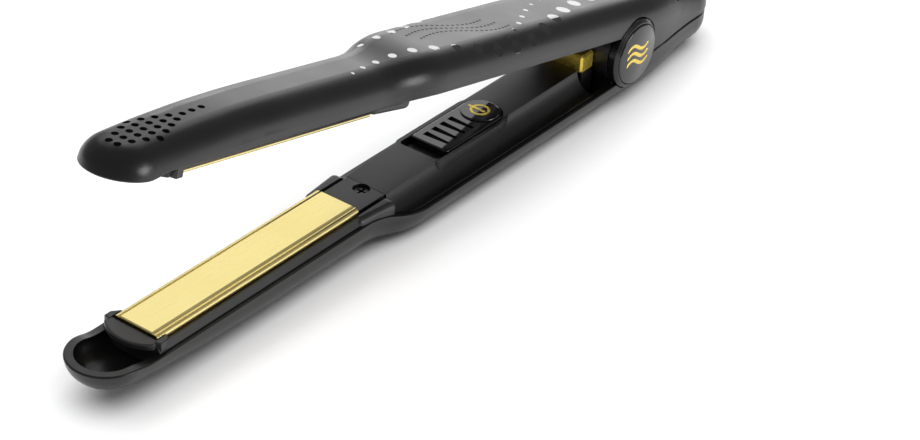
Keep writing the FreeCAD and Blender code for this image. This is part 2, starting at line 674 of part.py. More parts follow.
def carrier(arm):
    """A trough under the plate, with a crescent nose in front of it and two ears behind it."""
    nose = plate_front - s.nose_gap
    half = inner_half - s.fit
    body = new_body(f"{arm}_trough")
    section = new_sketch(body, "YZ_Plane", nose - 1)
    outer = s.barrel_half - s.wall + s.flank_over
    seat = -s.rim_drop + s.fit
    top = channel_half + s.flank_top
    corner = s.carrier_bevel
    draw(section, [
        (-s.plate_rib_half - 0.5, -floor_top),
        (-s.plate_rib_half - 0.5, -ledge),
        (-channel_half, -ledge),
        (-channel_half, -s.flank_dip),
        (-top, -s.flank_dip),
        (-outer, seat + 0.35),
        (-outer, seat),
        (-half, seat),
        (-half, corner - s.carrier_deep),
        (corner - half, -s.carrier_deep),
        (half - corner, -s.carrier_deep),
        (half, corner - s.carrier_deep),
        (half, seat),
        (outer, seat),
        (outer, seat + 0.35),
        (top, -s.flank_dip),
        (channel_half, -s.flank_dip),
        (channel_half, -ledge),
        (s.plate_rib_half + 0.5, -ledge),
        (s.plate_rib_half + 0.5, -floor_top),
    ])
    pad(body, section, s.plate_long + s.nose_gap + 1 + s.carrier_rear)

    crescent = new_body(f"{arm}_crescent")
    shape = new_sketch(crescent, "XY_Plane", -s.crescent_dip)
    wide = half + 0.3
    back = s.crescent_long - s.crescent_sag
    sweep = nose - s.crescent_long + s.crescent_sweep
    draw(shape, [
        (nose, -wide),
        (nose, wide),
        (nose - back, wide),
        arc(nose - s.crescent_long, 0, 1, u0=sweep),
        arc(nose - back, -wide, 1, u0=sweep),
    ])
    block = pad(crescent, shape, s.crescent_thick, down=True)
    lip = edges_where(block.Shape, lambda edge: (
        abs(edge.CenterOfMass.z + s.crescent_dip.value) < 1e-3 and edge.BoundBox.XLength > 0.5
        and edge.CenterOfMass.x < nose.value - 1.0))
    fillet(crescent, block, lip, s.crescent_edge)
    room, slab = tube_between(f"{arm}_nose", nose - s.crescent_long - 1, nose + 1)
    under = common(f"{arm}_nose_room", room, slab)
    above = box(f"{arm}_nose_above", (nose - s.crescent_long - 1, -wide - 1, seat), (nose + 1, wide + 1, 0))
    end_wall = box(f"{arm}_end_wall", (nose - s.end_wall, -half, -s.carrier_deep),
                   (nose, half, -s.crescent_dip - s.fit))
    crescent_fit = common(f"{arm}_crescent_fit", fuse(f"{arm}_nose_piece", [crescent, end_wall]),
                          fuse(f"{arm}_nose_space", [under, above]))

    guards = []
    for side in (-1, 1):
        guard = new_body(f"{arm}_guard_{'near' if side < 0 else 'far'}")
        outline = new_sketch(guard, "XY_Plane", -s.guard_dip)
        inside = channel_half * side
        draw(outline, [
            (nose - s.end_wall, inside),
            (plate_front + s.guard_long, inside),
            (plate_front + s.guard_long - s.guard_taper, outer * side),
            (nose - s.end_wall / 2, outer * side),
        ])
        raised = pad(guard, outline, -seat - s.guard_dip, down=True)
        rounded = edges_where(raised.Shape, lambda edge: (
            abs(edge.CenterOfMass.z + s.guard_dip.value) < 1e-3
            and abs(edge.CenterOfMass.y) > channel_half.value + 0.1))
        fillet(guard, raised, rounded, s.rim_soften)
        guards.append(guard)

    ears = []
    rear = -s.cover_start - s.fit
    for side in (-1, 1):
        ear = new_body(f"{arm}_ear_{'near' if side < 0 else 'far'}")
        outline = new_sketch(ear, "XY_Plane", -s.ear_dip)
        ear_front = plate_rear - s.ear_lap
        reach = outer + 0.35
        near = channel_half * side
        draw(outline, [
            (ear_front, near),
            (rear, near),
            (rear, (reach + s.ear_flare) * side),
            (ear_front, reach * side),
        ])
        raised = pad(ear, outline, s.lower_rim - s.ear_dip, down=True)
        rounded = edges_where(raised.Shape, lambda edge: (
            abs(edge.CenterOfMass.z + s.ear_dip.value) < 1e-3
            and abs(edge.CenterOfMass.y) > channel_half.value + 0.1))
        upright = edges_where(raised.Shape, lambda edge: (
            edge.BoundBox.ZLength > 1 and abs(edge.CenterOfMass.y) > channel_half.value + 1))
        fillet(ear, raised, rounded + upright, s.ear_round)
        ears.append(ear)
    ear_room, ear_slab = tube_between(f"{arm}_ear", plate_rear - s.ear_lap - 1, rear)
    ear_space = fuse(f"{arm}_ear_space", [
        common(f"{arm}_ear_inside", ear_room, ear_slab),
        above_rim(f"{arm}_ear", arm, s.rim_soften, plate_rear - s.ear_lap - 1, rear),
    ])
    ears_fit = common(f"{arm}_ears_fit", fuse(f"{arm}_both_ears", ears), ear_space)
    made = fuse(f"{arm}_carrier_solid", [body, crescent_fit, ears_fit] + guards)
    tab_side = s.tab_half + s.fit
    clear_tab = box(f"{arm}_tab_room", (plate_rear + s.nose_gap, -tab_side, -s.flank_dip - s.tab_thick),
                    (-s.cover_start + 17, tab_side, 1))
    node(cut(f"{arm}_carrier_cut", made, clear_tab), f"{arm}_plate_carrier", arm)


def float_pads(arm):
    pads = []
    for number, along in enumerate((0.15, 0.85)):
        middle = plate_front + s.plate_long * along
        for side in (-1, 1):
            inner = (s.plate_rib_half + 0.8) * side
            outer = (channel_half - s.fit) * side
            low, high = (inner, outer) if side > 0 else (outer, inner)
            pads.append(box(f"{arm}_pad_{number}_{side + 1}",
                            (middle - s.pad_long / 2, low, -ledge),
                            (middle + s.pad_long / 2, high, -pad_top)))
    node(group(f"{arm}_float_pads", pads), f"{arm}_float_pads", arm)


# --- inner cover -----------------------------------------------------------------------------------

def inner_cover(arm):
    """The handle's inner face: a raised hump whose sides sweep down to a lip on the shell's rim."""
    lower = arm == "lower"
    rim = s.lower_rim if lower else s.upper_rim
    body = new_body(f"{arm}_cover_sheet")
    section = new_sketch(body, "YZ_Plane", -s.cover_start)
    far = s.handle_half
    seam = s.handle_half - s.seam_lap
    lip = s.lip_rise - rim
    down = s.cover_thick
    crown = -s.hump_dip
    draw(section, [
        arc(s.hump_half, crown, -1, u0=seam),
        (-s.hump_half, crown),
        arc(-seam, lip, -1, u0=-seam),
        (-far, lip),
        (-far, lip - down),
        (-seam, lip - down),
        arc(1.2 - s.hump_half, crown - down, 1, u0=-seam),
        (s.hump_half - 1.2, crown - down),
        arc(seam, lip - down, 1, u0=seam),
        (far, lip - down),
        (far, lip),
        (seam, lip),
    ])
    pad(body, section, s.cover_start - s.cover_end)
    bulkhead = box(f"{arm}_bulkhead", (-s.cover_end - s.bulkhead_thick, -far, 4 - s.handle_depth),
                   (-s.cover_end, far, lip - 0.2))
    hump_end = box(f"{arm}_hump_end", (-s.cover_end - s.bulkhead_thick, 0.8 - s.hump_half, -rim),
                   (-s.cover_end, s.hump_half - 0.8, crown - 0.3))
    ramp = new_body(f"{arm}_cover_tab")
    tab = new_sketch(ramp, "XZ_Plane")
    draw(tab, [
        (plate_rear + s.nose_gap + s.fit, -s.tab_dip),
        (plate_rear + s.nose_gap + s.fit, -s.tab_dip - s.tab_thick),
        (3 - s.cover_start, -s.tab_dip - s.tab_thick),
        (6 - s.cover_start, crown - down),
        (6 - s.cover_start, -s.tab_dip),
    ])
    pad(ramp, tab, s.tab_half * 2, both=True)
    screw_at = -s.screw_back
    boss = cylinder(f"{arm}_cover_boss", s.screw_head + 1.2, (screw_at, 0, -s.screw_dip - 4),
                    s.screw_dip + 4 - s.tab_dip - 0.3, "Z")
    parts = [body, bulkhead, hump_end, ramp, boss]
    if lower:
        parts.append(recess_solid("recess_wall", s.slider_gap + s.recess_wall,
                                  -s.recess_dip - s.recess_wall, -s.hump_dip - 0.1))
    solid = fuse(f"{arm}_cover_solid", parts)
    room, slab = tube_between(f"{arm}_cover", plate_rear + s.nose_gap, -s.cover_end)
    space = fuse(f"{arm}_cover_space", [
        common(f"{arm}_cover_inside", room, slab),
        above_rim(f"{arm}_cover", arm, s.seam_lap, -s.cover_start, -s.cover_end),
    ])
    fitted = common(f"{arm}_cover_fitted", solid, space)
    slope = new_body(f"{arm}_hump_slope")
    over = new_sketch(slope, "XZ_Plane")
    draw(over, [
        (-s.cover_start - 1, -s.tab_dip),
        arc(s.hump_ramp - s.cover_start, crown, -1, u0=s.hump_ramp - s.cover_start),
        (s.hump_ramp - s.cover_start, 1),
        (-s.cover_start - 1, 1),
    ])
    pad(slope, over, s.handle_half * 2, both=True)
    sink_floor = -s.screw_dip - s.screw_tall
    tools = [
        slope,
        cylinder(f"{arm}_screw_sink", s.screw_head + s.fit, (screw_at, 0, sink_floor), 6, "Z"),
        cylinder(f"{arm}_screw_hole", s.screw_shank + s.fit, (screw_at, 0, -12), 12, "Z"),
    ]
    if lower:
        tools.append(recess_solid("recess_room", s.slider_gap, -s.recess_dip, as_size(1)))
        tools.append(box("lever_slot", (-s.slider_front + 6, -1.4, -12), (-s.slider_front + 18, 1.4, 0)))
        tools.append(cylinder("light_hole", 1.8, (-s.disc_back, 0, -12), 12, "Z"))
    node(cut(f"{arm}_cover_cut", fitted, fuse(f"{arm}_cover_tools", tools)), f"{arm}_inner_cover", arm)


def draw_slot(sketch, front, half, corner):
    """A slot with a square front, its corners rounded, and a round rear around the switch's disc."""
    turn_in = front + corner
    draw(sketch, [
        arc(turn_in, -half, 1, u0=turn_in),
        (-s.disc_back, -half),
        arc(-s.disc_back, half, 1, u0=-s.disc_back),
        (turn_in, half),
        arc(front, half - corner, 1, u0=turn_in),
        (front, corner - half),
    ])


def recess_solid(label, margin, low, high):
    """The switch's slot, as far around the switch as margin."""
    low, high = as_size(low), as_size(high)
    body = new_body(label)
    outline = new_sketch(body, "XY_Plane", low)
    beyond = margin - s.slider_gap
    draw_slot(outline, -s.recess_front - beyond, s.slider_half + margin, s.recess_corner + beyond)
    pad(body, outline, high - low)
    return body


def cover_screw(arm):
    """A pan-head cross-recess screw."""
    at = -s.screw_back
    under = -s.screw_dip - s.screw_tall
    head = cylinder(f"{arm}_screw_head", s.screw_head, (at, 0, under), s.screw_tall, "Z")
    shank = cylinder(f"{arm}_screw_shank", s.screw_shank, (at, 0, under - s.screw_long + 0.2),
                     s.screw_long, "Z")
    slot = s.screw_slot
    reach = s.screw_head * 0.62
    bottom = under + s.screw_tall / 3
    cross = fuse(f"{arm}_screw_cross", [
        box(f"{arm}_screw_slot_a", (at - reach, -slot, bottom), (at + reach, slot, 0)),
        box(f"{arm}_screw_slot_b", (at - slot, -reach, bottom), (at + slot, reach, 0)),
    ])
    made = cut(f"{arm}_screw", fuse(f"{arm}_screw_solid", [head, shank]), cross)
    node(made, f"{arm}_cover_screw", arm)


def tail_cover(arm):
    """The deck that closes the tail behind the hinge."""
    lower = arm == "lower"
    low = notch_radius + 0.8
    label = f"{arm}_tail"
    room, slab = tube_between(label, low, s.tail_reach)
    body = new_body(f"{label}_sheet")
    side = new_sketch(body, "XZ_Plane")
    thick = s.deck_thick
    if lower:
        a = -s.rim_drop - 0.2
        b = a
    else:
        a = wedge_height(low, s.run + 0.2)
        b = wedge_height(s.tail_reach, s.run + 0.2)
    draw(side, [(low, a - thick), (s.tail_reach, b - thick), (s.tail_reach, b), (low, a)])
    pad(body, side, s.handle_half * 2, both=True)
    if lower:
        space = common(f"{label}_space", room, slab)
    else:
        tall = arm_solid(f"{label}_tall", s.wall + s.fit)
        space = common(f"{label}_space", tall, box(
            f"{label}_tall_slab", (low, -s.handle_half, -s.handle_depth),
            (s.tail_reach, s.handle_half, s.handle_depth)))
    made = common(f"{label}_deck", body, space)
    if lower:
        made = cut(f"{label}_deck_cut", made, cylinder(
            "gland_room", s.gland_tail + s.run, (s.tail_reach - s.wall - s.gland_in - 1, 0, -s.gland_dip),
            s.gland_in + s.wall + 4, "X"))
    node(made, f"{arm}_tail_cover", arm)


# --- switch and electronics ------------------------------------------------------------------------

def slider():
    body = new_body("power_slider_body")
    outline = new_sketch(body, "XY_Plane", -s.slider_dip - s.slider_thick)
    draw_slot(outline, -s.slider_front, s.slider_half, s.slider_corner)
    block = pad(body, outline, s.slider_thick)
    rim = edges_where(block.Shape, lambda edge: abs(edge.CenterOfMass.z + s.slider_dip.value) < 1e-3)
    fillet(body, block, rim, s.slider_edge)
    grooves = new_sketch(body, "XY_Plane", -s.slider_dip)
    for number in range(4):
        at = -s.slider_front + 3.9 + s.groove_step * number
        draw(grooves, [
            (at - s.groove_wide * 0.35, -s.slider_half * 0.62),
            (at + s.groove_wide * 0.35, -s.slider_half * 0.62),
            (at + s.groove_wide * 0.65, s.slider_half * 0.68),
            (at - s.groove_wide * 0.65, s.slider_half * 0.68),
        ])
    pocket(body, grooves, s.groove_deep)
    lever = box("slider_lever", (-s.slider_front + 10.5, -1, -s.slider_dip - s.slider_thick - 3.2),
                (-s.slider_front + 13.5, 1, -s.slider_dip - s.slider_thick + 0.4))
    node(fuse("power_slider_fused", [body, lever]), "power_slider", "lower")

    disc = new_body("slider_disc")
    round_face = new_sketch(disc, "XY_Plane", -s.slider_dip)
    circle(round_face, -s.disc_back, 0, s.disc_radius)
    raised = pad(disc, round_face, s.disc_rise)
    edge = edges_where(raised.Shape, lambda e: e.CenterOfMass.z > -s.slider_dip.value + 0.1)
    fillet(disc, raised, edge, 0.3)
    node(disc, "slider_disc", "lower")

    top = s.disc_rise - s.slider_dip
    ring = new_body("slider_mark_ring")
    mark = new_sketch(ring, "XY_Plane", top)
    circle(mark, -s.disc_back, 0, s.disc_radius * 0.52)
    circle(mark, -s.disc_back, 0, s.disc_radius * 0.38)
    pad(ring, mark, 0.12)
    bar = box("slider_mark_bar", (-s.disc_back - 0.45, -s.disc_radius * 0.3, top),
              (-s.disc_back + 0.45, s.disc_radius * 0.72, top + 0.12))
    node(fuse("slider_mark_fused", [ring, bar]), "slider_mark", "lower")


def electronics():
    rear = -s.cover_end - 8
    front = rear - s.board_long
    board = box("board", (front, -s.board_half, -s.board_dip - s.board_thick),
                (rear, s.board_half, -s.board_dip))
    chips = [
        box("triac", (rear - 16, -6, -s.board_dip), (rear - 6, -1, -s.board_dip + 3.4)),
        box("filter_capacitor", (rear - 16, 0.4, -s.board_dip), (rear - 5, 5.8, -s.board_dip + 3.6)),
        box("controller", (rear - 28, -4, -s.board_dip), (rear - 20, 4, -s.board_dip + 1.4)),
    ]
    node(fuse("circuit_board_fused", [board] + chips), "circuit_board", "lower")
    low = -s.board_dip
    high = -s.slider_dip - s.slider_thick - 2.4
    at = -s.slider_front + 12
    case = box("switch_case", (at - 8, -3.4, low), (at + 4, 3.4, high))
    slot = box("switch_slot", (at - 1.5 - s.slider_travel - s.run, -1 - s.run, high - 1.2),
               (at + 1.5 + s.run, 1 + s.run, high + 1))
    node(cut("switch_body_cut", case, slot), "switch_body", "lower")
    lamp = cylinder("led_stem", 1.4, (-s.disc_back, 0, low), 3.2, "Z")
    foot = cylinder("led_foot", 1.9, (-s.disc_back, 0, low), 0.8, "Z")
    node(fuse("power_led_fused", [lamp, foot]), "power_led", "lower")


def leads(arm):
    """Two wires from the sensor and heater back into the handle."""
    start = plate_rear + s.carrier_rear + 2
    stop = -s.cover_end - 8 - s.board_long - 1
    wires = []
    for number, across in enumerate((-3.0, 3.0)):
        wires.append(cylinder(f"{arm}_lead_{number}", s.lead_radius,
                              (start, across, -s.carrier_deep), stop - start, "X"))
    node(group(f"{arm}_leads", wires), f"{arm}_leads", arm)


# --- hinge -----------------------------------------------------------------------------------------

def drum_section(label, low, high):
    """A length of the hinge drum with a foot that stands on the shell's floor."""
    drum = cylinder(f"{label}_drum", s.drum_radius, (0, low, 0), as_size(high) - low, "Y")
    foot = box(f"{label}_foot", (-s.drum_radius + 3, low, s.wall - s.handle_depth),
               (s.drum_radius - 3, high, 4 - s.drum_radius))
    return [drum, foot]


def hinge():
    lower_parts = []
    lower_parts += drum_section("near_knuckle", -s.drum_half, -s.middle_half - s.run)
    lower_parts += drum_section("far_knuckle", s.middle_half + s.run, s.drum_half)
    far = s.drum_half + 1
    bore = cylinder("pin_seat", s.pin_radius, (0, -far, 0), far * 2, "Y")
    room = arm_solid("knuckle_room", s.wall)
    inside = common("lower_knuckle_fit", fuse("lower_knuckle_solid", lower_parts), room)
    node(cut("lower_knuckles_cut", inside, bore), "lower_knuckles", "lower")

    middle = fuse("upper_knuckle_solid", drum_section("upper_middle", -s.middle_half, s.middle_half))
    pocket_start = -s.middle_half + 0.9
    spring_room = cylinder("spring_room", s.spring_radius + s.spring_wire * 0.5 + s.run,
                           (0, pocket_start, 0), s.spring_wire * s.spring_turns + 0.8, "Y")
    running = cylinder("pin_running", s.pin_radius + s.pin_run, (0, -far, 0), far * 2, "Y")
    node(cut("upper_knuckle_cut", middle, fuse("upper_knuckle_tools", [spring_room, running])),
         "upper_knuckle", "upper")

    coils = []
    for number in range(int(s.spring_turns.value)):
        coil = doc.addObject("Part::Torus", f"spring_turn_{number}")
        bind(coil, "Radius1", s.spring_radius)
        bind(coil, "Radius2", s.spring_wire / 2 - 0.02)
        coil.Placement.Rotation = FreeCAD.Rotation(FreeCAD.Vector(1, 0, 0), -90)
        bind(coil, "Placement.Base.y", pocket_start + 0.4 + s.spring_wire * (number + 0.5))
        coils.append(coil)
    node(group("hinge_spring", coils), "hinge_spring", "upper")

    pin = cylinder("pin_rod", s.pin_radius, (0, -s.drum_half, 0), s.drum_half * 2, "Y")
    node(group("hinge_pin_solid", [pin]), "hinge_pin", "lower")

    for side, name in ((-1, "near"), (1, "far")):
        ring = new_body(f"hinge_ring_{name}")
        face = new_sketch(ring, "XZ_Plane", -s.ring_face if side > 0 else s.drum_half)
        circle(face, 0, 0, s.ring_radius)
        circle(face, 0, 0, s.cap_radius + s.fit)
        block = pad(ring, face, s.ring_face - s.drum_half)
        outer_edge = edges_where(block.Shape, lambda edge: (
            abs(abs(edge.CenterOfMass.y) - s.ring_face.value) < 1e-3
            and edge.BoundBox.XLength > 2 * s.cap_radius.value + 1))
        bevel = ring.newObject("PartDesign::Chamfer", f"hinge_ring_{name}_bevel")
        bevel.Base = (block, outer_edge)
        bind(bevel, "Size", s.ring_bevel)
        doc.recompute()
        node(ring, f"hinge_ring_{name}", "lower")

        cap = new_body(f"hinge_cap_{name}")
        face = new_sketch(cap, "XZ_Plane", -s.cap_face if side > 0 else s.drum_half)
        circle(face, 0, 0, s.cap_radius)
        block = pad(cap, face, s.cap_face - s.drum_half)
        rim = edges_where(block.Shape, lambda edge: abs(abs(edge.CenterOfMass.y) - s.cap_face.value) < 1e-3)
        fillet(cap, block, rim, s.cap_edge)
        node(cap, f"hinge_cap_{name}", "lower")


def accent():
    back = -s.drum_radius - s.run
    block = new_body("accent_block")
    outline = new_sketch(block, "XY_Plane", -s.block_drop)
    draw(outline, [
        (-s.block_front, -s.block_half),
        (back, -s.block_half),
        (back, s.block_half),
        (-s.block_front, s.block_half),
    ])
    raised = pad(block, outline, s.block_drop + s.block_rise)
    top = edges_where(raised.Shape, lambda edge: (
        edge.CenterOfMass.z > s.block_rise.value - 1e-3 and edge.CenterOfMass.x < back.value - 1e-3))
    corners = edges_where(raised.Shape, lambda edge: (
        edge.BoundBox.ZLength > 1 and edge.CenterOfMass.x < 1e-3 - s.block_front.value))
    chamfer = block.newObject("PartDesign::Chamfer", "accent_block_chamfer")
    chamfer.Base = (raised, top + corners)
    bind(chamfer, "Size", s.block_chamfer)
    doc.recompute()
    node(block, "accent_block", "lower")
    plinth = box("accent_plinth_box", (-s.block_front - 0.25, -s.block_half - 0.25, s.wall - s.handle_depth),
                 (back, s.block_half + 0.25, -s.block_drop))
    node(group("accent_plinth_solid", [plinth]), "accent_plinth", "lower")


def gland():
    """A bush that turns in the tail wall: neck in the wall, shoulders inside and outside it."""
    body = new_body("swivel_gland")
    section = new_sketch(body, "XZ_Plane")
    end = s.tail_reach
    neck_back = end - s.wall - s.run * 0.25
    inside = neck_back - s.gland_in
    outside = end + s.gland_out
    middle = -s.gland_dip
    draw(section, [
        (inside, middle + s.gland_bore),
        (outside, middle + s.gland_bore),
        (outside, middle + s.gland_head),
        (end + s.run * 0.25, middle + s.gland_head),
        (end + s.run * 0.25, middle + s.gland_neck),
        (neck_back, middle + s.gland_neck),
        (neck_back, middle + s.gland_tail),
        (inside, middle + s.gland_tail),
    ])
    spin = body.newObject("PartDesign::Revolution", "gland_turn")
    spin.Profile = section
    axis = section.addGeometry(Part.LineSegment(
        FreeCAD.Vector(inside.value, middle.value, 0), FreeCAD.Vector(outside.value, middle.value, 0)), True)
    for point, size in ((1, inside), (2, outside)):
        for kind, value in (("DistanceX", size), ("DistanceY", middle)):
            rule = section.addConstraint(Sketcher.Constraint(kind, axis, point, value.value))
            bind(section, f"Constraints[{rule}]", value)
    spin.ReferenceAxis = (section, ["Axis0"])
    spin.Angle = 360
    doc.recompute()
    node(body, "swivel_gland", "lower")


# --- assembly --------------------------------------------------------------------------------------

for arm_name in ("lower", "upper"):
    shell(arm_name)
    plate(arm_name)
    heater(arm_name)
    sensor(arm_name)
    carrier(arm_name)
    float_pads(arm_name)
    inner_cover(arm_name)
    cover_screw(arm_name)
    tail_cover(arm_name)
    leads(arm_name)
slider()
electronics()
hinge()
accent()
gland()
doc.recompute()

for thing in doc.Objects:
    if "Invalid" in thing.State or "Error" in thing.State:
        raise RuntimeError(f"{thing.Label} failed: {thing.State}")
for piece in made_nodes:
    if piece.Shape.isNull() or not piece.Shape.isValid() or not piece.Shape.Solids:
        raise RuntimeError(f"{piece.Label} has no valid solid")

os.makedirs("parts", exist_ok=True)
for piece in made_nodes:
    piece.Shape.exportStep(f"parts/{piece.Label}.step")
    size = piece.Shape.BoundBox
    print(f"{piece.Label:22s} {len(piece.Shape.Solids)} solid(s) {piece.Shape.Volume:10.1f} mm3 "
          f"x {size.XMin:.1f}..{size.XMax:.1f} y {size.YMin:.1f}..{size.YMax:.1f} "
          f"z {size.ZMin:.1f}..{size.ZMax:.1f}")
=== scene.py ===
"""Looks of the slim hair straightener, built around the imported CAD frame."""

import json
import math

import bmesh
import bpy
from mathutils import Matrix, Vector
from mathutils.bvhtree import BVHTree


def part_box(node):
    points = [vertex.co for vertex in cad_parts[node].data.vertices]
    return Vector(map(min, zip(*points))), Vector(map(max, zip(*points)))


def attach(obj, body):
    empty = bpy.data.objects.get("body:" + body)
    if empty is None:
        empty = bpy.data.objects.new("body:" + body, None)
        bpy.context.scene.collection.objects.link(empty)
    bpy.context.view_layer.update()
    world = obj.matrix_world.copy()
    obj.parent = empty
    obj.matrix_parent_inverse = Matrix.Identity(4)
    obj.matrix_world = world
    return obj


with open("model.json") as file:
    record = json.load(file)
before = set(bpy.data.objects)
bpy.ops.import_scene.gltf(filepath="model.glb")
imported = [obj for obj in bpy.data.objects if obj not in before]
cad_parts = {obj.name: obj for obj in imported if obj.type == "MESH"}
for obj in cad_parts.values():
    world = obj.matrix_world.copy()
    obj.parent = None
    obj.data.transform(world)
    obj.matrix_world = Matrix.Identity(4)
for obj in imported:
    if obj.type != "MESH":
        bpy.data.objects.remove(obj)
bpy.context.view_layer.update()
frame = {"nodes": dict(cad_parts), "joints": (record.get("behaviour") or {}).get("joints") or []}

MM = 0.001
nodes = frame["nodes"]
hinge = next(j for j in frame["joints"] if j["name"] == "arms_hinge")
HINGE = Vector(hinge["pos_m"])
OPENING = math.radians(-hinge["range_deg"][0])

# The upper arm's handle: half width, hinge axis to its crest, rounding of its long edges.
HANDLE_HALF = 14.6 * MM
HANDLE_TOP = 16.0 * MM
EDGE_ROUND = 7.6 * MM

# How steeply a hinge cap's shaded dome falls away from its axis, per metre.
DOME = 18.0

# Noise scales of the slow drifts in a material, in cycles per metre.
SHEEN_DRIFT = 60.0
COLOUR_DRIFT = 35.0
GLOSS_WAVINESS = 260.0
GLOSS_DRIFT = 90.0
METAL_GRAIN = 900.0
METAL_DRIFT = 400.0

# Rows of dots on the upper shell, in millimetres: where a row starts and ends from the hinge axis, its
# middle line and swing around the skin, its wave length, where a wave peaks, its largest dot's radius.
DOT_ROWS = [
    dict(first=-134, last=44, middle=-8.4, swing=5.6, length=104, peak=-120, largest=2.3),
    dict(first=-74, last=-30, middle=-3.6, swing=7.0, length=88, peak=-30, largest=0.9),
    dict(first=-128, last=40, middle=10.6, swing=3.4, length=104, peak=-58, largest=2.2),
]
SMALLEST_DOT = 0.24
DOT_GAP = 5.2
DOT_GAP_GROWTH = 1.7
DOT_LIFT = 0.03 * MM

# The strand motif on the upper shell, in millimetres.
STRANDS = 3
STRAND_START = -102
STRAND_LONG = 38
STRAND_SHIFT = 2.5
STRAND_STEP = 3.4
STRAND_MIDDLE = 4.2
STRAND_SWING = 2.0
STRAND_SLANT = 5
DASH_GAP = 1.75
DASH_HALF = (0.62, 0.42)
DASH_LIFT = 0.02 * MM

# The mark on a hinge cap, in millimetres.
MARK_LONG = 11.2
MARK_STEP = 2.5
MARK_SWING = 1.25
MARK_HALF = 0.62
MARK_SUNK = 0.02
MARK_TALL = 0.07


# --- places ----------------------------------------------------------------------------------------

def on_upper(x, y, up):
    """A point given along the opened upper arm, in metres: x from the hinge, up away from its plate."""
    return Vector((
        x * math.cos(OPENING) + up * math.sin(OPENING),
        y,
        HINGE.z - x * math.sin(OPENING) + up * math.cos(OPENING),
    ))


def direction_on_upper(x, y, up):
    """A direction given along the opened upper arm."""
    return on_upper(x, y, up) - on_upper(0, 0, 0)


def surface_of(node):
    """A node's surface, ready to be hit by rays."""
    made = bmesh.new()
    made.from_mesh(nodes[node].data)
    tree = BVHTree.FromBMesh(made)
    made.free()
    return tree


# --- materials -------------------------------------------------------------------------------------

def new_material(name, colour, roughness, metallic=0.0, specular=0.5, coat=0.0):
    """A material that is the same all over, for its noise to be added."""
    made = bpy.data.materials.new(name)
    made.use_nodes = True
    shader = made.node_tree.nodes["Principled BSDF"]
    shader.inputs["Base Color"].default_value = (*colour, 1.0)
    shader.inputs["Roughness"].default_value = roughness
    shader.inputs["Metallic"].default_value = metallic
    shader.inputs["Specular IOR Level"].default_value = specular
    shader.inputs["Coat Weight"].default_value = coat
    shader.inputs["Coat Roughness"].default_value = 0.05
    return made


def texture_space(tree, stretch=(1, 1, 1)):
    """The object's own coordinates, stretched."""
    place = tree.nodes.new("ShaderNodeTexCoord")
    scaled = tree.nodes.new("ShaderNodeMapping")
    scaled.inputs["Scale"].default_value = stretch
    tree.links.new(place.outputs["Object"], scaled.inputs["Vector"])
    return scaled.outputs["Vector"]


def noise(tree, space, scale, detail=3.0):
    """Cloudy noise of 0..1."""
    made = tree.nodes.new("ShaderNodeTexNoise")
    made.inputs["Scale"].default_value = scale
    made.inputs["Detail"].default_value = detail
    tree.links.new(space, made.inputs["Vector"])
    return made.outputs["Fac"]


def ramp(tree, value, low, high):
    """Maps a noise value of 0..1 to low..high."""
    made = tree.nodes.new("ShaderNodeMapRange")
    made.inputs["From Min"].default_value = 0.3
    made.inputs["From Max"].default_value = 0.7
    made.inputs["To Min"].default_value = low
    made.inputs["To Max"].default_value = high
    tree.links.new(value, made.inputs["Value"])
    return made.outputs["Result"]


def bump(made, height, distance, strength=1.0):
    """Shades a material as if its surface rose by height times distance."""
    tree = made.node_tree
    node = tree.nodes.new("ShaderNodeBump")
    node.inputs["Strength"].default_value = strength
    node.inputs["Distance"].default_value = distance
    tree.links.new(height, node.inputs["Height"])
    tree.links.new(node.outputs["Normal"], tree.nodes["Principled BSDF"].inputs["Normal"])


def vary_roughness(made, space, scale, low, high):
    """Lets the sheen drift between two roughnesses."""
    tree = made.node_tree
    tree.links.new(ramp(tree, noise(tree, space, scale), low, high),
                   tree.nodes["Principled BSDF"].inputs["Roughness"])


def vary_colour(made, space, scale, dark, light):
    """Lets the colour drift between two colours."""
    tree = made.node_tree
    blend = tree.nodes.new("ShaderNodeMix")
    blend.data_type = "RGBA"
    blend.inputs["A"].default_value = (*dark, 1.0)
    blend.inputs["B"].default_value = (*light, 1.0)
    tree.links.new(ramp(tree, noise(tree, space, scale), 0.0, 1.0), blend.inputs["Factor"])
    tree.links.new(blend.outputs["Result"], tree.nodes["Principled BSDF"].inputs["Base Color"])


def moulded(name, dark, light, smooth, rough, grain_mm, depth_mm, specular=0.5):
    """Moulded plastic: a fine grain, and a sheen and colour that drift a little over the surface."""
    made = new_material(name, light, rough, specular=specular)
    tree = made.node_tree
    space = texture_space(tree)
    bump(made, noise(tree, space, 1 / (grain_mm * MM), 2.0), depth_mm * MM)
    vary_roughness(made, space, SHEEN_DRIFT, smooth, rough)
    vary_colour(made, space, COLOUR_DRIFT, dark, light)
    return made


def polished(name, colour, roughness=0.04, specular=0.55, coat=0.6):
    """Polished black plastic with the faint waviness of a moulding."""
    made = new_material(name, colour, roughness, specular=specular, coat=coat)
    tree = made.node_tree
    space = texture_space(tree)
    bump(made, noise(tree, space, GLOSS_WAVINESS, 1.0), 0.006 * MM)
    vary_roughness(made, space, GLOSS_DRIFT, roughness * 0.7, roughness * 1.6)
    return made


